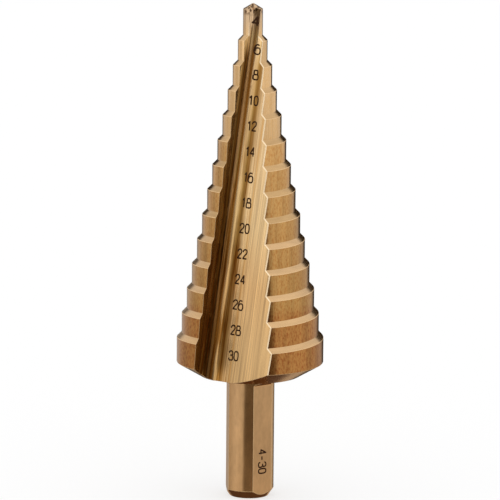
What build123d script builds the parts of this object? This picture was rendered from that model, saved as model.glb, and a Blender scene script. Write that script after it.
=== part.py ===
from build123d import *
import math
import os

# Step drill: one ground piece with fourteen steps from 4 mm to 30 mm, two straight flutes, a split point and
# a shank with three flats. The axis is +Z with the tip up, and the origin is the middle of the shank's end.
# The floors of both flutes run along X. Lengths are in millimetres and angles in degrees.

# Shank
shank_diameter = 10.0
shank_length = 24.8
end_chamfer_height = 1.6
end_chamfer_depth = 1.1
flat_count = 3
flat_depth = 0.56
flat_length = 23.7
flat_run_out_radius = 0.6
first_flat_turn = -17.0

# Underside of the largest step: a flat ring round the shank, then a cone out to the full diameter
underside_ring_radius = 10.0
underside_angle = 30.0

# Steps, counted from the tip
smallest_diameter = 4.0
diameter_step = 2.0
step_count = 14
step_pitch = 5.0
last_step_length = 5.2
step_chamfer_angle = 45.0
pilot_length = 6.1

# Point. The two cones of the point stand off the axis, which lets each lip lead the face behind it.
point_angle = 118.0
lip_relief = 0.25
split_gap = 0.3
split_tilt = 38.0
split_opening = 100.0

# Relief behind the cutting edges. Each step's round and its chamfer cone stand off the axis, by a share of
# the step's radius and towards a direction, so both fall away from the cutting edge to the heel.
side_relief_share = 0.020
side_relief_turn = 305.0
shoulder_relief_share = 0.066
shoulder_relief_turn = 283.0

# Flutes. Each is a groove with a flat floor, an overhanging wall and a round root, tight at the floor and
# wide at the wall. Its place is where the floor and the wall would meet, at the height of the tip. From
# there it runs straight down to the shank and leans towards -X and -Y, away from the axis.
flute_corner_x = -0.24
flute_corner_y = 0.42
flute_x_lean_angle = 3.222
flute_y_lean_angle = 7.604
wall_angle = 77.0
root_turn = 36.0
root_flat = 0.05
floor_root_radius = 2.3
wall_root_radius = 3.0
cutting_edge_turn = 260.0
flute_middle_turn = 291.0

# Sizes that follow from those above
shank_radius = shank_diameter / 2
pilot_radius = smallest_diameter / 2
radius_step = diameter_step / 2
largest_radius = pilot_radius + (step_count - 1) * radius_step
underside_height = (largest_radius - underside_ring_radius) * math.tan(math.radians(underside_angle))
largest_corner_height = shank_length + underside_height + last_step_length
pilot_corner_height = largest_corner_height + (step_count - 2) * step_pitch + pilot_length
point_slope = math.tan(math.radians(point_angle / 2))
overall_length = pilot_corner_height + pilot_radius / point_slope
stock_radius = 2 * largest_radius

standing = (Align.CENTER, Align.CENTER, Align.MIN)


def turned(radius, turn):
    """The X and Y of a point at a radius from the axis and a turn about it."""
    angle = math.radians(turn)
    return radius * math.cos(angle), radius * math.sin(angle)


def offset_round(radius, share, turn):
    """Where an off-axis round stands, and its radius, so that it passes through the cutting edge."""
    offset = radius * share
    x, y = turned(offset, turn)
    lead = offset * math.cos(math.radians(turn - cutting_edge_turn))
    return x, y, radius - lead


def step_column(step):
    """A step as a relieved round column under a relieved chamfer cone, from the underside up."""
    radius = pilot_radius + step * radius_step
    corner_height = largest_corner_height + (step_count - 1 - step) * step_pitch
    side_x, side_y, side_radius = offset_round(radius, side_relief_share, side_relief_turn)
    cone_x, cone_y, corner_radius = offset_round(radius, shoulder_relief_share, shoulder_relief_turn)
    slope = math.tan(math.radians(step_chamfer_angle))
    cone_height = corner_height + corner_radius * slope - shank_length
    column = Pos(side_x, side_y, shank_length) * Cylinder(side_radius, cone_height, align=standing)
    cone = Pos(cone_x, cone_y, shank_length) * Cone(cone_height / slope, 0, cone_height, align=standing)
    return column & cone


def pilot_column():
    """The smallest step, which has no chamfer and runs up into the point."""
    x, y, radius = offset_round(pilot_radius, side_relief_share, side_relief_turn)
    height = overall_length + lip_relief - shank_length
    return Pos(x, y, shank_length) * Cylinder(radius, height, align=standing)


def land():
    """All the steps of one land, cut off at the plane through the middle of the two flutes."""
    steps = pilot_column().fuse(*[step_column(step) for step in range(1, step_count)])
    side = Box(2 * stock_radius, stock_radius, overall_length, align=(Align.CENTER, Align.MAX, Align.MIN))
    return steps & (Pos(0, 0, shank_length) * Rot(0, 0, flute_middle_turn) * side)


def ring_profile(*points):
    """A profile of radii and heights, as a face that stands on the axis."""
    return Rot(90, 0, 0) * make_face(Polyline(*points, close=True))


def point_waste():
    """What lies above the two cones of the point."""
    reach = 2 * pilot_radius
    top = overall_length + reach
    apex = overall_length + lip_relief / point_slope
    ring = revolve(ring_profile((0, apex), (reach, apex - reach / point_slope), (reach, top), (0, top)), Axis.Z)
    x, y = turned(lip_relief, cutting_edge_turn - 90)
    return [Pos(x, y, 0) * ring, Pos(-x, -y, 0) * ring]


def underside_waste():
    """What lies below the underside's cone, outside its flat ring."""
    bottom = shank_length - diameter_step
    rise = math.tan(math.radians(underside_angle))
    profile = ring_profile(
        (underside_ring_radius, bottom),
        (underside_ring_radius, shank_length),
        (stock_radius, shank_length + (stock_radius - underside_ring_radius) * rise),
        (stock_radius, bottom),
    )
    return revolve(profile, Axis.Z)


def flute():
    """One flute's section in the plane of the tip, drawn down along the flute's lean."""
    wall_turn = 180 - wall_angle - root_turn
    floor_tangent = floor_root_radius * math.tan(math.radians(root_turn / 2))
    wall_tangent = wall_root_radius * math.tan(math.radians(wall_turn / 2))
    facet = (floor_tangent + root_flat + wall_tangent) / math.sin(math.radians(wall_angle))
    on_floor = (facet * math.sin(math.radians(wall_turn)), 0)
    on_wall = turned(facet * math.sin(math.radians(root_turn)), -wall_angle)
    wall_end = turned(stock_radius, -wall_angle)
    floor_end = (2 * stock_radius, 0)
    corners = Polyline(on_floor, on_wall, wall_end, (2 * stock_radius, wall_end[1]), floor_end, close=True)
    section = make_face(corners)
    section = fillet(section.vertices().sort_by_distance(on_floor)[0], floor_root_radius)
    section = fillet(section.vertices().sort_by_distance(on_wall)[0], wall_root_radius)
    lean_x = math.tan(math.radians(flute_x_lean_angle))
    lean_y = math.tan(math.radians(flute_y_lean_angle))
    down = Vector(-lean_x, -lean_y, -1)
    depth = overall_length * down.length
    return Pos(flute_corner_x, flute_corner_y, overall_length) * extrude(section, amount=depth, dir=down)


def split_notch():
    """The notch that thins the web in front of one lip, slanting out and down from beside the axis."""
    reach = 4 * pilot_radius
    half_width = reach * math.tan(math.radians(split_opening / 2))
    wedge = make_face(Polyline((0, 0), (reach, -half_width), (reach, half_width), close=True))
    prism = Rot(0, -split_tilt, 0) * extrude(wedge, amount=reach, both=True)
    turn = cutting_edge_turn + split_opening / 2
    return Pos(0, 0, overall_length) * Rot(0, 0, turn) * Pos(split_gap, 0, 0) * prism


def shank():
    """The shank with its end chamfer, sunk into the body, and its driving flats."""
    top = shank_length + underside_height
    profile = ring_profile(
        (0, 0),
        (shank_radius - end_chamfer_depth, 0),
        (shank_radius, end_chamfer_height),
        (shank_radius, top),
        (0, top),
    )
    solid = revolve(profile, Axis.Z)
    cutter = Box(shank_radius, shank_diameter, flat_length, align=(Align.MIN, Align.CENTER, Align.MIN))
    run_out_edge = cutter.edges().filter_by(Axis.Y).sort_by(Axis.Z)[-2:].sort_by(Axis.X)[0]
    cutter = Pos(shank_radius - flat_depth, 0, 0) * fillet(run_out_edge, flat_run_out_radius)
    for index in range(flat_count):
        solid -= Rot(0, 0, first_flat_turn + index * 360 / flat_count) * cutter
    return solid


def step_drill():
    """The whole drill: two equal halves, each with one land, round the shank."""
    half_turn = Rot(0, 0, 180)
    cuts = [flute(), split_notch()]
    half = land()
    for waste in (*point_waste(), underside_waste(), *cuts, *[half_turn * cut for cut in cuts]):
        half = half - waste
    return half + half_turn * half + shank()


drill = step_drill()
os.makedirs("parts", exist_ok=True)
export_step(drill, "parts/step_drill.step")
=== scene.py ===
import math

import bmesh
import bpy
from mathutils import Matrix, Vector
from mathutils.bvhtree import BVHTree


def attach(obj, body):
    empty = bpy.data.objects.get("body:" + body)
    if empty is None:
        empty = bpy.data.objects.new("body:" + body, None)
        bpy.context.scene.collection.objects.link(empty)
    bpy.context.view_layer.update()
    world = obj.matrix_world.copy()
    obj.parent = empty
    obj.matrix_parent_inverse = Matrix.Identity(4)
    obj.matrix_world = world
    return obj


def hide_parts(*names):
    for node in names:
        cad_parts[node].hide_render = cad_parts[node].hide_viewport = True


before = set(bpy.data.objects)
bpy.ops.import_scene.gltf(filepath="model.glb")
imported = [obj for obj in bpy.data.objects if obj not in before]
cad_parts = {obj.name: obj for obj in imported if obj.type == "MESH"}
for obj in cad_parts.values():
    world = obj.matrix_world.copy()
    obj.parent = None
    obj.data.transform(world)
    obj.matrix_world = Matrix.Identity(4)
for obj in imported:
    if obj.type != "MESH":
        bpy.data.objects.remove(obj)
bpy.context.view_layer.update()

# A step drill that stands on its shank: the finished drill, its step numbers, the camera and the light.
# Lengths are in millimetres until they meet a mesh, which is in metres, and angles are in degrees.
MM = 0.001


def linear(red, green, blue):
    """A colour as it looks on a screen, from 0 to 255, as a shader's colour."""
    return tuple(((value / 255 + 0.055) / 1.055) ** 2.4 for value in (red, green, blue)) + (1.0,)


def grey(level):
    """A grey, also as the stop of a ramp that gives a number."""
    return (level, level, level, 1.0)


def lamp(level):
    """The colour of light at a level, white when full and warmer as it dims."""
    return (level, level ** 1.12, level ** 1.3, 1.0)


def metres(lengths):
    """Lengths in metres from lengths in millimetres."""
    return [length * MM for length in lengths]


def turned(radius, angle):
    """The X and Y of a point at a radius from the axis and an angle about it."""
    return Vector((radius * math.cos(math.radians(angle)), radius * math.sin(math.radians(angle))))


# The drill, as its solid has it
OVERALL_LENGTH = 100.188
SHANK_LENGTH = 24.8
SHANK_RADIUS = 5.0
FLAT_COUNT = 3
FLAT_DEPTH = 0.56
FLAT_LENGTH = 23.7
FIRST_FLAT_TURN = -17.0
STEP_NUMBERS = range(4, 31, 2)

# The flutes, as the solid has them
FLUTE_CORNER = (-0.24, 0.42)
FLUTE_LEANS = (3.222, 7.604)
WALL_ANGLE = 77.0
ROOT_TURN = 36.0
ROOT_FLAT = 0.05
FLOOR_ROOT_RADIUS = 2.3
WALL_ROOT_RADIUS = 3.0

# How the faces of the drill are told apart. A slope is the upward part of a face's normal.
ON_FLUTE = 0.05
FLUTE_TOP_DROP = 2.0
POINT_DROP = 1.6
POINT_SLOPE = 0.1
CHAMFER_SLOPE = 0.4
FLAT_FACING = 0.9999
FLOOR_FACING = 0.9

# The finishes of the drill's faces, as numbers; the last two are edge facets with a painted highlight
LAND, CHAMFER, FLUTE, POINT, SHANK, FLAT, PAINTED_HIGHLIGHT_EDGE, PAINTED_HIGHLIGHT_HEEL = range(8)

# The edge facets with painted highlights, and what counts as one point, as one plane and as a sharp edge
MERGE_GAP = 0.001
PLANE_ANGLE = 0.3
SHARP_ANGLE = 22.0
EDGE_WIDTH = 0.06
HEEL_EDGE_WIDTH = 0.15

# Grinding lines: their relief, and the broad ones beside the fine ones
LINE_DEPTH = 0.02
LINE_RELIEF = 0.5
BROAD_SCALE = 0.22
BROAD_SHARE = 1.3
BROAD_SHINE = 0.12

# The bare and burnt steel at the tip
TIP_WORN_HEIGHTS = (93.0, 97.6)
TIP_BURNT_HEIGHTS = (97.6, 98.8)
BARE_STEEL = linear(200, 168, 132)
BURNT_STEEL = linear(84, 58, 36)
BURNT_SPOT_SCALES = (1900, 1900, 1300)
BURNT_SPOT_LEVELS = (0.48, 0.56)

# Colours up the outside of the drill, each with its height
LAND_COLOURS = [
    (0.0, linear(202, 144, 84)),
    (38.5, linear(202, 146, 84)),
    (40.5, linear(208, 161, 97)),
    (72.0, linear(206, 161, 102)),
    (74.0, linear(216, 177, 128)),
    (90.0, linear(216, 177, 128)),
]
LAND_SPOTS = [
    (0.0, linear(168, 98, 52)),
    (38.5, linear(168, 98, 50)),
    (40.5, linear(186, 126, 66)),
    (72.0, linear(190, 134, 74)),
    (74.0, linear(214, 170, 112)),
]
SPOT_SCALES = (3200, 3200, 1500)
SPOT_LEVELS = (0.4, 0.75)
CHAMFER_COLOURS = [
    (0.0, linear(213, 173, 124)),
    (52.0, linear(215, 177, 131)),
    (58.0, linear(204, 166, 116)),
    (90.0, linear(208, 170, 122)),
]
POINT_COLOURS = [(90.0, linear(215, 200, 180)), (100.0, linear(215, 200, 180))]
SHANK_COLOURS = [(0.0, linear(228, 184, 134)), (24.0, linear(228, 184, 134))]
FLAT_COLOURS = [(0.0, linear(212, 170, 123)), (24.0, linear(212, 170, 123))]
# Painted highlights: the pale colours of the edge facets, palest along the heels
EDGE_PAINTED_HIGHLIGHT_COLOURS = [(0.0, linear(230, 192, 142)), (90.0, linear(230, 192, 142))]
HEEL_PAINTED_HIGHLIGHT_COLOURS = [(0.0, linear(253, 226, 186)), (90.0, linear(253, 226, 186))]

# Colours up the flutes, each with its height
FLUTE_COLOURS = [
    (32.0, linear(220, 180, 126)),
    (44.0, linear(216, 173, 119)),
    (56.0, linear(219, 184, 133)),
    (71.0, linear(216, 181, 133)),
    (85.0, linear(198, 161, 114)),
    (89.0, linear(203, 168, 122)),
    (94.0, linear(236, 208, 170)),
]

# Painted reflections and painted shade, in bands along the flutes from the wall to the floor, by their places
# in the section. A place of 0 is where the floor's round of the root ends, and the wall lies below 0.
FLUTE_START = 6.0
FLUTE_WIDTH = 20.0
FLUTE_LIGHT_AND_SHADE_BANDS = [
    (-6.0, linear(238, 255, 248)),
    (-4.2, linear(238, 255, 248)),
    (-3.4, linear(208, 220, 216)),
    (-2.5, linear(202, 210, 206)),
    (-2.25, linear(255, 242, 205)),
    (-2.0, linear(175, 155, 115)),
    (-1.6, linear(90, 68, 36)),
    (-1.1, linear(120, 90, 50)),
    (-0.75, linear(255, 240, 215)),
    (-0.45, linear(255, 240, 215)),
    (-0.25, linear(245, 205, 130)),
    (0.1, linear(245, 205, 130)),
    (0.3, grey(1.0)),
    (1.15, linear(255, 250, 228)),
    (1.4, linear(250, 236, 190)),
    (1.6, linear(232, 210, 156)),
    (1.85, linear(190, 166, 116)),
    (2.1, linear(198, 176, 128)),
    (2.35, linear(228, 212, 180)),
    (3.1, grey(1.0)),
    (3.9, grey(1.0)),
    (4.25, linear(226, 210, 180)),
    (4.7, grey(1.0)),
    (14.0, grey(1.0)),
]
FLUTE_SHINE = [
    (-6.0, 0.24), (-2.4, 0.24), (-2.0, 0.14), (-1.0, 0.14), (-0.7, 0.5), (-0.5, 0.5), (-0.3, 0.16),
    (0.3, 0.2), (0.9, 0.3), (1.3, 0.42), (2.2, 0.42), (2.8, 0.36), (3.6, 0.24), (14.0, 0.26),
]

# The flutes' grinding lines, stronger on the wall than on the floor
FLUTE_LINE_SCALES = (4.6, 1.0, 60.0)
FLUTE_LINE_PLACES = (-2.5, 2.0)
FLUTE_LINE_CONTRASTS = (3.2, 1.3)
FLUTE_BROAD_SHARE = 0.6

# The root of the flutes, paler towards the tip, and with a painted highlight along it above the lowest steps
PALE_ROOT = linear(242, 220, 180)
PALE_ROOT_HEIGHTS = (89.0, 95.0)
PALE_ROOT_PLACES = (0.3, 1.6)
PALE_ROOT_SHARE = 0.8
ROOT_PAINTED_HIGHLIGHT = (1.5, 1.55, 1.7, 1.0)
ROOT_HIGHLIGHT_HEIGHTS = (48.0, 62.0)
ROOT_HIGHLIGHT_WALL_PLACES = (-1.3, -0.8)
ROOT_HIGHLIGHT_FLOOR_PLACES = (0.0, 0.6)

# Brown streaks on the flutes' floor, fading towards the cutting edge and towards the tip
BROWN_STREAK = linear(196, 166, 116)
BROWN_STREAK_SCALES = (2.4, 1.0, 75.0)
BROWN_STREAK_LEVELS = (0.48, 0.62)
BROWN_STREAK_PLACES = (1.6, 7.0)
BROWN_STREAK_HEIGHTS = (60.0, 85.0)

# The marks: the numbers down the flute's floor, one to a step, and the range of sizes on the shank
MARK_DARK = linear(36, 16, 3)
MARK_LIGHT = linear(64, 36, 12)
MARK_BLOTCH_SCALES = (2500, 2500, 2500)
MARK_STROKE = 0.155
MARK_RISE = 0.015
MARK_REACH = 1.5
NUMBER_HEIGHT = 1.78
FIRST_NUMBER_PLACE = (1.31, 96.6)
SECOND_NUMBER_HEIGHT = 91.1
NUMBER_PITCH = 5.07
NUMBER_ROW_RIGHT = 2.4
NUMBER_ROW_TOP_RIGHT = 1.75
NUMBER_ROW_BEND = 60.0
SIZE_RANGE = "4-30"
SIZE_RANGE_HEIGHT = 1.8
SIZE_RANGE_PLACE = 7.6

# The strokes of each figure, as the corners that a smooth stroke is drawn round. A figure is 1 high.
FIGURE_STROKES = {
    "0": [[(0.3, -0.02), (0.05, 0.03), (-0.02, 0.5), (0.05, 0.97), (0.3, 1.02), (0.55, 0.97), (0.62, 0.5),
           (0.55, 0.03)]],
    "1": [[(0, 0.76), (0.2, 1), (0.2, 1), (0.2, 0)]],
    "2": [[(0, 0.72), (0.02, 1), (0.58, 1.04), (0.6, 0.6), (0.3, 0.4), (0, 0), (0, 0), (0.6, 0)]],
    "3": [[(0, 0.8), (0.04, 1), (0.56, 1.02), (0.58, 0.56), (0.25, 0.54), (0.25, 0.54), (0.6, 0.54),
           (0.64, 0.02), (0.3, -0.02), (0.02, -0.02), (0, 0.22)]],
    "4": [[(0.44, 0), (0.44, 1), (0.44, 1), (0, 0.3), (0, 0.3), (0.6, 0.3)]],
    "6": [[(0.54, 0.94), (0.22, 1.12), (-0.04, 0.66), (-0.08, 0.06), (0.28, -0.08), (0.66, -0.02),
           (0.68, 0.6), (0.3, 0.7), (0.02, 0.52), (-0.02, 0.3)]],
    "8": [[(0.3, 0.54), (0.05, 0.54), (0.05, 1.02), (0.3, 1.02), (0.55, 1.02), (0.55, 0.54)],
          [(0.3, -0.02), (-0.05, -0.02), (-0.05, 0.54), (0.3, 0.54), (0.65, 0.54), (0.65, -0.02)]],
    "-": [[(0.05, 0.45), (0.5, 0.45)]],
}
CLOSED_FIGURES = "08"
FIGURE_WIDTH = 0.6
NARROW_FIGURE_WIDTHS = {"1": 0.38}
FIGURE_NARROWING = 0.88
FIGURE_GAP = 0.2

# The camera
CAMERA_TURN = -54.0
CAMERA_HEIGHT_ANGLE = 9.8
CAMERA_DISTANCE = 900.0
CAMERA_ROLL = 0.51
CAMERA_LENS = 322.4
CAMERA_SENSOR = 36.0
AIM_HEIGHT = 50.26
AIM_LEFT = 0.185

# The studio: a pale floor, a white world, and a round screen that only reflections show
ROUND_SEGMENTS = 96
FLOOR_RADIUS = 3000.0
FLOOR_PAPER = 0.93
FLOOR_GLOW = 1.02
FLOOR_GLOW_SHARE = 0.6
WORLD_LIGHT = 1.05
WORLD_SEEN = 1.0
SCREEN_RADIUS = 130.0
SCREEN_LOW = -80.0
SCREEN_HIGH = 170.0
SCREEN_BOTTOM = (0.1, 0.056, 0.036, 1.0)
SCREEN_FOOT = (0.52, 0.4, 0.28, 1.0)
SCREEN_FOOT_HEIGHTS = (-42.0, -32.0)
SCREEN_RING_HEIGHTS = (-5.0, 85.0)

# How bright the screen is round the drill, low down and high up. An angle is counted from the camera to
# its right.
SCREEN_RINGS = (
    [(-180, 0.03), (-170, 0.03), (-162, 0.6), (-136, 0.54), (-126, 0.46), (-100, 0.5), (-60, 0.68),
     (-50, 0.6), (-29, 0.6), (-23, 0.12), (37, 0.12), (43, 0.62), (84, 0.67), (104, 0.6), (142, 0.5),
     (154, 0.04), (180, 0.03)],
    [(-180, 0.03), (-152, 0.03), (-144, 0.84), (-98, 0.84), (-84, 1.16), (-60, 1.16), (-50, 1.12),
     (-26, 1.12), (-14, 0.18), (37, 0.18), (43, 1.02), (100, 1.02), (138, 0.9), (144, 0.03), (180, 0.03)],
)


class Shade:
    """A value in a material's nodes. Python's own sums on it add the Math nodes."""

    def __init__(self, tree, socket=None):
        self.tree = tree
        self.socket = socket

    def node(self, kind, settings=None, inputs=None, output=0):
        """One node, with its settings made first and then the values or links of its sockets."""
        made = self.tree.nodes.new(kind)
        for name, value in (settings or {}).items():
            if name == "stops":
                ramp = made.color_ramp
                while len(ramp.elements) < len(value):
                    ramp.elements.new(1.0)
                while len(ramp.elements) > len(value):
                    ramp.elements.remove(ramp.elements[-1])
                for stop, (place, colour) in zip(ramp.elements, value):
                    stop.position = place
                    stop.color = colour
            else:
                setattr(made, name, value)
        for name, value in (inputs or {}).items():
            if isinstance(value, Shade):
                self.tree.links.new(value.socket, made.inputs[name])
            else:
                made.inputs[name].default_value = value
        return Shade(self.tree, made.outputs[output]) if made.outputs else None

    def other(self, name):
        """Another output of the node that this value comes from."""
        return Shade(self.tree, self.socket.node.outputs[name])

    def maths(self, operation, *values):
        return self.node("ShaderNodeMath", {"operation": operation}, dict(enumerate(values)))

    def __add__(self, other):
        return self.maths("ADD", self, other)

    def __radd__(self, other):
        return self.maths("ADD", other, self)

    def __sub__(self, other):
        return self.maths("SUBTRACT", self, other)

    def __rsub__(self, other):
        return self.maths("SUBTRACT", other, self)

    def __mul__(self, other):
        return self.maths("MULTIPLY", self, other)

    def __rmul__(self, other):
        return self.maths("MULTIPLY", other, self)

    def ramp(self, stops):
        return self.node("ShaderNodeValToRGB", {"stops": stops}, {"Fac": self})

    def between(self, low, high, new_low=0.0, new_high=1.0):
        """This value's place from low to high, eased at both ends."""
        values = {"Value": self, "From Min": low, "From Max": high, "To Min": new_low, "To Max": new_high}
        return self.node("ShaderNodeMapRange", {"interpolation_type": "SMOOTHSTEP"}, values)

    def mixed(self, first, second):
        """The first colour where this value is 0 and the second where it is 1."""
        # A Mix node has sockets of the same name for numbers and for colours, so these go by their numbers.
        return self.node("ShaderNodeMix", {"data_type": "RGBA"}, {0: self, 6: first, 7: second}, output=2)

    def tinted(self, other):
        """This colour times another."""
        settings = {"data_type": "RGBA", "blend_type": "MULTIPLY"}
        return self.node("ShaderNodeMix", settings, {0: 1.0, 6: self, 7: other}, output=2)


def new_material(name):
    """An empty material, as its tree and a Shade to build in it."""
    material = bpy.data.materials.new(name)
    material.use_nodes = True
    material.node_tree.nodes.clear()
    return material, Shade(material.node_tree)


def show(shade, surface, kind="ShaderNodeOutputMaterial"):
    """Makes a shader the surface of its material or world."""
    shade.node(kind, inputs={"Surface": surface})


def object_place(shade):
    """The place on the drill, in metres."""
    return shade.node("ShaderNodeTexCoord", output="Object")


def height_up(shade):
    """The height on the drill, in metres."""
    return shade.node("ShaderNodeSeparateXYZ", inputs={"Vector": object_place(shade)}, output="Z")


def streaks(shade, place, scales, grain=3.0):
    """Noise drawn out along a surface, from a place and the scales along its three ways."""
    stretched = shade.node("ShaderNodeMapping", inputs={"Vector": place, "Scale": scales})
    return shade.node("ShaderNodeTexNoise", inputs={"Vector": stretched, "Scale": 1.0, "Detail": grain})


def by_height(shade, colours):
    """A colour that changes up the drill."""
    share = height_up(shade) * (1 / (OVERALL_LENGTH * MM))
    return share.ramp([(level / OVERALL_LENGTH, colour) for level, colour in colours])


def bare_tip(shade, colour):
    """A colour that gives way at the tip to bare steel, with burnt spots on the point."""
    height = height_up(shade)
    bare = height.between(*metres(TIP_WORN_HEIGHTS))
    burnt = streaks(shade, object_place(shade), BURNT_SPOT_SCALES, 2.0).between(*BURNT_SPOT_LEVELS)
    burnt = burnt * height.between(*metres(TIP_BURNT_HEIGHTS))
    return bare.mixed(colour, burnt.mixed(BARE_STEEL, BURNT_STEEL))


def ground_steel(shade, place, colour, scales, shine, contrast, metal=1.0, broad_share=BROAD_SHARE):
    """Ground steel with its coating: grinding lines in the colour, the shine and the surface."""
    fine = streaks(shade, place, scales)
    broad = streaks(shade, place, tuple(scale * BROAD_SCALE for scale in scales), 2.0)
    tone = (fine - 0.5) * contrast + (broad - 0.5) * (contrast * broad_share) + 1.0
    lines = shade.node("ShaderNodeCombineColor", inputs={"Red": tone, "Green": tone, "Blue": tone})
    relief = {"Strength": LINE_RELIEF, "Distance": LINE_DEPTH * MM, "Height": fine}
    inputs = {
        "Base Color": lines.tinted(bare_tip(shade, colour)),
        "Metallic": metal,
        "Roughness": (broad - 0.5) * BROAD_SHINE + shine,
        "Normal": shade.node("ShaderNodeBump", inputs=relief),
    }
    show(shade, shade.node("ShaderNodeBsdfPrincipled", inputs=inputs))


def outer_steel(name, colours, scales, shine, contrast=0.22, spots=None, metal=1.0):
    """The steel of a turned or ground outer face. The scales of its lines are along X, Y and Z."""
    material, shade = new_material(name)
    place = object_place(shade)
    colour = by_height(shade, colours)
    if spots:
        spotted = streaks(shade, place, SPOT_SCALES).between(*SPOT_LEVELS)
        colour = spotted.mixed(colour, by_height(shade, spots))
    ground_steel(shade, place, colour, scales, shine, contrast, metal)
    return material


def along_flute(bands):
    """A ramp's stops from bands along the flute's section."""
    return [((level + FLUTE_START) / FLUTE_WIDTH, colour) for level, colour in bands]


def flute_finish(name):
    """The steel of the flutes, with grinding lines down them, painted reflection and shade bands and a
    painted root highlight.
    """
    material, shade = new_material(name)
    across = shade.node("ShaderNodeAttribute", {"attribute_name": "across_flute"}, output="Fac")
    height = height_up(shade)
    place = shade.node("ShaderNodeCombineXYZ", inputs={"X": across, "Z": height})
    share = (across + FLUTE_START) * (1 / FLUTE_WIDTH)
    # Painted reflections and painted shade, band by band across the flute
    painted_light_bands = share.ramp(along_flute(FLUTE_LIGHT_AND_SHADE_BANDS))
    shine = share.ramp(along_flute([(level, grey(value)) for level, value in FLUTE_SHINE]))
    pale = across.between(*PALE_ROOT_PLACES, PALE_ROOT_SHARE, 0.0)
    pale = height.between(*metres(PALE_ROOT_HEIGHTS)) * pale
    steel = pale.mixed(painted_light_bands, PALE_ROOT).tinted(by_height(shade, FLUTE_COLOURS))
    brown = streaks(shade, place, BROWN_STREAK_SCALES).between(*BROWN_STREAK_LEVELS)
    brown = brown * across.between(*BROWN_STREAK_PLACES, 1.0, 0.0)
    brown = brown * height.between(*metres(BROWN_STREAK_HEIGHTS), 1.0, 0.0)
    steel = brown.mixed(steel, steel.tinted(BROWN_STREAK))
    # A painted highlight along the root, brightening the colour above the lowest steps
    root_highlight = across.between(*ROOT_HIGHLIGHT_WALL_PLACES) * across.between(*ROOT_HIGHLIGHT_FLOOR_PLACES, 1.0, 0.0)
    root_highlight = root_highlight * height.between(*metres(ROOT_HIGHLIGHT_HEIGHTS))
    steel = root_highlight.mixed(steel, steel.tinted(ROOT_PAINTED_HIGHLIGHT))
    contrast = across.between(*FLUTE_LINE_PLACES, *FLUTE_LINE_CONTRASTS)
    ground_steel(shade, place, steel, FLUTE_LINE_SCALES, shine, contrast, broad_share=FLUTE_BROAD_SHARE)
    return material


def drill_steels():
    """The steels of the drill, in the order of the numbers of its finishes."""
    return [
        outer_steel("land_steel", LAND_COLOURS, (2200, 2200, 50), shine=0.16, contrast=0.5, spots=LAND_SPOTS),
        outer_steel("chamfer_steel", CHAMFER_COLOURS, (300, 300, 2200), shine=0.18, contrast=0.3),
        flute_finish("flute_steel"),
        outer_steel("point_steel", POINT_COLOURS, (900, 900, 900), shine=0.3, contrast=1.0),
        outer_steel("shank_steel", SHANK_COLOURS, (1500, 1500, 500), shine=0.22, contrast=0.4),
        outer_steel("flat_steel", FLAT_COLOURS, (1500, 1500, 700), shine=0.3, contrast=0.36),
        # The last two are the edge facets, whose pale colours are painted highlights
        outer_steel("edge_painted_highlight", EDGE_PAINTED_HIGHLIGHT_COLOURS, (300, 300, 300), shine=0.4, metal=0.6),
        outer_steel("heel_painted_highlight", HEEL_PAINTED_HIGHLIGHT_COLOURS, (300, 300, 300), shine=0.4, metal=0.3),
    ]


def burnt_mark(name):
    """The dull dark brown that a marking laser leaves on the coating."""
    material, shade = new_material(name)
    blotch = streaks(shade, object_place(shade), MARK_BLOTCH_SCALES, 2.0)
    inputs = {"Base Color": blotch.mixed(MARK_DARK, MARK_LIGHT), "Roughness": 0.8, "Specular IOR Level": 0.1}
    show(shade, shade.node("ShaderNodeBsdfPrincipled", inputs=inputs))
    return material


def root_rounds():
    """The middles of the two rounds of the flute's root in its section: the floor's and the wall's."""
    wall_turn = 180 - WALL_ANGLE - ROOT_TURN
    floor_tangent = FLOOR_ROOT_RADIUS * math.tan(math.radians(ROOT_TURN / 2))
    wall_tangent = WALL_ROOT_RADIUS * math.tan(math.radians(wall_turn / 2))
    facet = (floor_tangent + ROOT_FLAT + wall_tangent) / math.sin(math.radians(WALL_ANGLE))
    floor_middle = Vector((facet * math.sin(math.radians(wall_turn)) + floor_tangent, -FLOOR_ROOT_RADIUS))
    wall_start = facet * math.sin(math.radians(ROOT_TURN)) + wall_tangent
    wall_middle = turned(wall_start, -WALL_ANGLE) + turned(WALL_ROOT_RADIUS, 90 - WALL_ANGLE)
    return floor_middle, wall_middle


def in_flute(point):
    """A point's place in the section of the nearer flute, from the corner of its floor and wall."""
    drop = OVERALL_LENGTH - point.z
    corner = [start - drop * math.tan(math.radians(lean)) for start, lean in zip(FLUTE_CORNER, FLUTE_LEANS)]
    places = [Vector((side * point.x - corner[0], side * point.y - corner[1])) for side in (1, -1)]
    return min(places, key=off_flute)


def off_flute(place):
    """How far a place in the flute's section is from the flute's surface."""
    floor_middle, wall_middle = root_rounds()
    if place.x > floor_middle.x:
        return abs(place.y)
    if (place - wall_middle).dot(turned(1, -WALL_ANGLE)) > 0:
        return abs(place.dot(turned(1, 90 - WALL_ANGLE)))
    from_floor_round = abs((place - floor_middle).length - FLOOR_ROOT_RADIUS)
    from_wall_round = abs((place - wall_middle).length - WALL_ROOT_RADIUS)
    return min(from_floor_round, from_wall_round)


def across_flute(place):
    """The way along the flute's section from between the rounds of its root: plus on the floor."""
    floor_middle, wall_middle = root_rounds()
    root = math.radians(ROOT_TURN)
    bend = math.radians(180 - WALL_ANGLE)
    out = place - floor_middle
    if out.dot(turned(1, 180 + ROOT_TURN)) < 0:
        angle = math.atan2(-out.x, out.y)
        return FLOOR_ROOT_RADIUS * (root - max(angle, 0.0)) + (out.x if angle < 0 else 0.0)
    out = place - wall_middle
    angle = math.atan2(-out.x, out.y)
    beyond = out.dot(turned(1, -WALL_ANGLE)) if not 0 < angle < bend else 0.0
    return -ROOT_FLAT - WALL_ROOT_RADIUS * ((angle if 0 < angle < bend else bend) - root) - beyond


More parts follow.
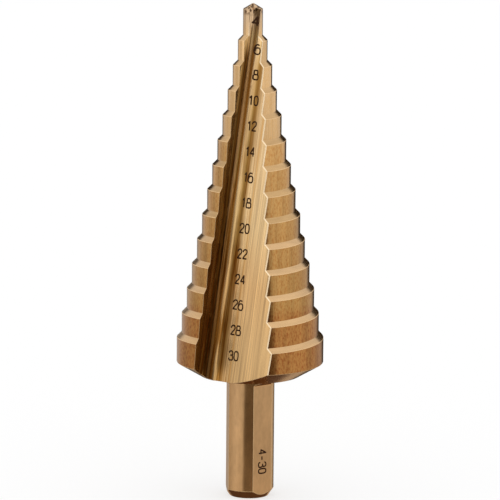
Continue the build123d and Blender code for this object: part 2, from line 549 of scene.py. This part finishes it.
def finish_of(face):
    """The number of the finish that a face of the drill gets."""
    centre = face.calc_center_median() / MM
    slope = face.normal.z
    if centre.z < SHANK_LENGTH:
        turns = [FIRST_FLAT_TURN + index * 360 / FLAT_COUNT for index in range(FLAT_COUNT)]
        facing = max(face.normal.xy.dot(turned(1, turn)) for turn in turns)
        return FLAT if facing > FLAT_FACING and centre.z < FLAT_LENGTH else SHANK
    if slope < -CHAMFER_SLOPE:
        return CHAMFER
    if off_flute(in_flute(centre)) < ON_FLUTE and centre.z < OVERALL_LENGTH - FLUTE_TOP_DROP:
        return FLUTE
    if centre.z > OVERALL_LENGTH - POINT_DROP and slope > POINT_SLOPE:
        return POINT
    return CHAMFER if slope > CHAMFER_SLOPE else LAND


def corner_edges(form):
    """The outer corners of a form."""
    sharp = math.radians(SHARP_ANGLE)
    return [edge for edge in form.edges if edge.is_convex and edge.calc_face_angle() > sharp]


def at_heel(edge):
    """Whether an edge is where a step meets the floor of the flute."""
    faces = edge.link_faces
    on_floor = any(face.material_index == FLUTE and abs(face.normal.y) > FLOOR_FACING for face in faces)
    return on_floor and min(face.normal.z for face in faces) > -CHAMFER_SLOPE


def beside_heel(edge):
    """Whether an edge borders a heel facet with the painted highlight."""
    return any(face.material_index == PAINTED_HIGHLIGHT_HEEL for face in edge.link_faces)


def wear_edges(form, edges, width, finish):
    """Turns edges into narrow facets with a finish whose pale colour is a painted highlight."""
    bmesh.ops.bevel(
        form,
        geom=edges,
        offset=width * MM,
        offset_type="OFFSET",
        affect="EDGES",
        segments=1,
        profile=0.5,
        material=finish,
        clamp_overlap=False,
        miter_outer="SHARP",
        miter_inner="SHARP",
    )


def drill_finish():
    """The drill with its faces sorted by finish, and a narrow facet with a painted highlight on every edge.
    """
    form = bmesh.new()
    form.from_mesh(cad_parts["step_drill"].data)
    bmesh.ops.remove_doubles(form, verts=form.verts, dist=MERGE_GAP * MM)
    bmesh.ops.dissolve_limit(form, angle_limit=math.radians(PLANE_ANGLE), verts=form.verts, edges=form.edges)
    for face in form.faces:
        face.material_index = finish_of(face)
    heels = [edge for edge in corner_edges(form) if at_heel(edge)]
    wear_edges(form, heels, HEEL_EDGE_WIDTH, PAINTED_HIGHLIGHT_HEEL)
    others = [edge for edge in corner_edges(form) if not beside_heel(edge)]
    wear_edges(form, others, EDGE_WIDTH, PAINTED_HIGHLIGHT_EDGE)
    across = form.verts.layers.float.new("across_flute")
    for vertex in form.verts:
        vertex[across] = across_flute(in_flute(vertex.co / MM))
    for edge in form.edges:
        edge.smooth = edge.calc_face_angle() < math.radians(SHARP_ANGLE / 2)
    for face in form.faces:
        face.smooth = True
    mesh = bpy.data.meshes.new("drill_finish")
    form.to_mesh(mesh)
    form.free()
    for steel in drill_steels():
        mesh.materials.append(steel)
    piece = bpy.data.objects.new("drill_finish", mesh)
    bpy.context.scene.collection.objects.link(piece)
    shading = piece.modifiers.new("even_shading", "WEIGHTED_NORMAL")
    shading.mode = "FACE_AREA"
    shading.keep_sharp = True
    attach(piece, "root")
    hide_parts("step_drill")
    return piece


def add_stroke(curve, letter, corners, left, foot, height):
    """One stroke of a figure that stands on a foot line and starts at the left."""
    closed = letter in CLOSED_FIGURES
    stroke = curve.splines.new("NURBS")
    stroke.points.add(len(corners) - 1)
    for point, (across, up) in zip(stroke.points, corners):
        point.co = ((left + across * FIGURE_NARROWING * height) * MM, (foot + up * height) * MM, 0, 1)
    stroke.use_cyclic_u = closed
    stroke.use_endpoint_u = not closed
    stroke.order_u = 3
    stroke.resolution_u = 4


def flat_figures(name, texts):
    """Texts as one mesh of round strokes that lie flat. Each has its words, its middle and its height."""
    curve = bpy.data.curves.new(name, "CURVE")
    curve.dimensions = "3D"
    curve.bevel_depth = MARK_STROKE * MM
    curve.bevel_resolution = 2
    curve.use_fill_caps = True
    for words, middle, height in texts:
        widths = [NARROW_FIGURE_WIDTHS.get(letter, FIGURE_WIDTH) * FIGURE_NARROWING for letter in words]
        left = middle.x - height * (sum(widths) + FIGURE_GAP * (len(words) - 1)) / 2
        for letter, width in zip(words, widths):
            for corners in FIGURE_STROKES[letter]:
                add_stroke(curve, letter, corners, left, middle.y - height / 2, height)
            left += (width + FIGURE_GAP) * height
    drawn = bpy.data.objects.new(name, curve)
    bpy.context.scene.collection.objects.link(drawn)
    mesh = bpy.data.meshes.new_from_object(drawn.evaluated_get(bpy.context.evaluated_depsgraph_get()))
    bpy.data.objects.remove(drawn)
    return mesh


def mark(name, texts, place, steel, brown):
    """Texts marked on the steel: flattened, put in their place and let down on its surface."""
    mesh = flat_figures(name, texts)
    out = place.to_3x3() @ Vector((0, 0, 1))
    for vertex in mesh.vertices:
        ground = place @ Vector((vertex.co.x, vertex.co.y, 0))
        hit = steel.ray_cast(ground + out * MARK_REACH * MM, -out, 2 * MARK_REACH * MM)[0]
        vertex.co = (hit or ground) + out * vertex.co.z * MARK_RISE / MARK_STROKE
    mesh.materials.clear()
    mesh.materials.append(brown)
    piece = bpy.data.objects.new(name, mesh)
    bpy.context.scene.collection.objects.link(piece)
    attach(piece, "root")


def mark_step_numbers(steel, brown):
    """The diameter of each step, marked on the floor of the flute."""
    lean = math.tan(math.radians(FLUTE_LEANS[1]))
    up = Vector((0, lean, 1)).normalized()
    across = Vector((1, 0, 0))
    start = Vector((0, FLUTE_CORNER[1] - lean * OVERALL_LENGTH, 0)) * MM
    place = Matrix.Translation(start) @ Matrix((across, up, across.cross(up))).transposed().to_4x4()
    texts = []
    for index, number in enumerate(STEP_NUMBERS):
        height = SECOND_NUMBER_HEIGHT - (index - 1) * NUMBER_PITCH
        share = max(0.0, (height - NUMBER_ROW_BEND) / (FIRST_NUMBER_PLACE[1] - NUMBER_ROW_BEND))
        right = NUMBER_ROW_RIGHT + (NUMBER_ROW_TOP_RIGHT - NUMBER_ROW_RIGHT) * share
        middle = Vector(FIRST_NUMBER_PLACE if index == 0 else (right, height))
        texts.append((str(number), Vector((middle.x, middle.y / up.z)), NUMBER_HEIGHT))
    mark("step_numbers", texts, place, steel, brown)


def mark_size_range(steel, brown):
    """The smallest and largest diameter, marked down the flat of the shank that faces the camera."""
    out = turned(1, FIRST_FLAT_TURN).to_3d()
    down = Vector((0, 0, -1))
    start = out * (SHANK_RADIUS - FLAT_DEPTH) * MM
    place = Matrix.Translation(start) @ Matrix((down, out.cross(down), out)).transposed().to_4x4()
    texts = [(SIZE_RANGE, Vector((-SIZE_RANGE_PLACE, 0)), SIZE_RANGE_HEIGHT)]
    mark("size_range", texts, place, steel, brown)


def make_camera():
    """The camera at the photograph's angle, a long lens aimed just beside the middle of the drill."""
    sight = turned(1, CAMERA_TURN)
    aim = Vector((*turned(-AIM_LEFT, CAMERA_TURN + 90), AIM_HEIGHT)) * MM
    lift = math.radians(CAMERA_HEIGHT_ANGLE)
    back = Vector((sight.x * math.cos(lift), sight.y * math.cos(lift), math.sin(lift)))
    lens = bpy.data.cameras.new("camera")
    lens.sensor_width = CAMERA_SENSOR
    lens.lens = CAMERA_LENS
    camera = bpy.data.objects.new("camera", lens)
    bpy.context.scene.collection.objects.link(camera)
    roll = Matrix.Rotation(math.radians(CAMERA_ROLL), 4, "Z")
    facing = (-back).to_track_quat("-Z", "Y").to_matrix().to_4x4()
    camera.matrix_world = Matrix.Translation(aim + back * CAMERA_DISTANCE * MM) @ facing @ roll
    bpy.context.scene.camera = camera


def studio_part(name, form, materials):
    """A part of the studio, made from its form."""
    mesh = bpy.data.meshes.new(name)
    form.to_mesh(mesh)
    form.free()
    for material in materials:
        mesh.materials.append(material)
    part = bpy.data.objects.new(name, mesh)
    bpy.context.scene.collection.objects.link(part)
    return part


def make_floor():
    """A round pale floor that glows a little and keeps the drill's shadow."""
    form = bmesh.new()
    bmesh.ops.create_circle(form, cap_ends=True, segments=ROUND_SEGMENTS, radius=FLOOR_RADIUS * MM)
    material, shade = new_material("floor_paper")
    paper = shade.node("ShaderNodeBsdfDiffuse", inputs={"Color": grey(FLOOR_PAPER)})
    glow = shade.node("ShaderNodeEmission", inputs={"Color": grey(1.0), "Strength": FLOOR_GLOW})
    show(shade, shade.node("ShaderNodeMixShader", inputs={0: FLOOR_GLOW_SHARE, 1: paper, 2: glow}))
    floor = studio_part("studio_floor", form, [material])
    floor.visible_glossy = False


def screen_light():
    """The light of the screen's sides, by the angle round the drill and by the height."""
    material, shade = new_material("screen_light")
    turn_to_camera = {"Vector": object_place(shade), "Rotation": (0, 0, math.radians(-CAMERA_TURN))}
    facing = shade.node("ShaderNodeMapping", inputs=turn_to_camera)
    ahead = shade.node("ShaderNodeSeparateXYZ", inputs={"Vector": facing})
    height = ahead.other("Z")
    turn = shade.maths("ARCTAN2", ahead.other("Y"), ahead) * (0.5 / math.pi) + 0.5
    rings = [[(angle / 360 + 0.5, lamp(level)) for angle, level in ring] for ring in SCREEN_RINGS]
    low, high = [turn.ramp(stops) for stops in rings]
    light = height.between(*metres(SCREEN_RING_HEIGHTS)).mixed(low, high)
    light = height.between(*metres(SCREEN_FOOT_HEIGHTS)).mixed(SCREEN_FOOT, light)
    show(shade, shade.node("ShaderNodeEmission", inputs={"Color": light, "Strength": 1.0}))
    return material


def screen_shadow():
    """The dim light of the screen's bottom."""
    material, shade = new_material("screen_shadow")
    show(shade, shade.node("ShaderNodeEmission", inputs={"Color": SCREEN_BOTTOM, "Strength": 1.0}))
    return material


def make_screen():
    """A round screen with bright sides and a dark gap in front and behind, for the steel to reflect."""
    form = bmesh.new()
    middle = Matrix.Translation((0, 0, (SCREEN_HIGH + SCREEN_LOW) / 2 * MM))
    bottom = Matrix.Translation((0, 0, SCREEN_LOW * MM))
    radius = SCREEN_RADIUS * MM
    bmesh.ops.create_cone(
        form,
        cap_ends=False,
        segments=ROUND_SEGMENTS,
        radius1=radius,
        radius2=radius,
        depth=(SCREEN_HIGH - SCREEN_LOW) * MM,
        matrix=middle,
    )
    bmesh.ops.create_circle(form, cap_ends=True, segments=ROUND_SEGMENTS, radius=radius, matrix=bottom)
    for face in form.faces:
        face.material_index = int(abs(face.normal.z) > 0.5)
    screen = studio_part("studio_screen", form, [screen_light(), screen_shadow()])
    screen.visible_camera = False
    screen.visible_diffuse = False
    screen.visible_shadow = False


def make_world():
    """An even white world, plain white where it is seen or reflected."""
    world = bpy.data.worlds.new("studio_world")
    bpy.context.scene.world = world
    world.use_nodes = True
    world.node_tree.nodes.clear()
    shade = Shade(world.node_tree)
    path = shade.node("ShaderNodeLightPath")
    seen = path.other("Is Camera Ray") + path.other("Is Glossy Ray") + path.other("Is Transmission Ray")
    colour = seen.mixed(grey(WORLD_LIGHT), grey(WORLD_SEEN))
    light = shade.node("ShaderNodeBackground", inputs={"Color": colour, "Strength": 1.0})
    show(shade, light, "ShaderNodeOutputWorld")


drill = drill_finish()
drill_surface = BVHTree.FromObject(drill, bpy.context.evaluated_depsgraph_get())
mark_brown = burnt_mark("mark_brown")
mark_step_numbers(drill_surface, mark_brown)
mark_size_range(drill_surface, mark_brown)
make_camera()
make_floor()
make_screen()
make_world()

bpy.context.scene.view_settings.view_transform = "Standard"
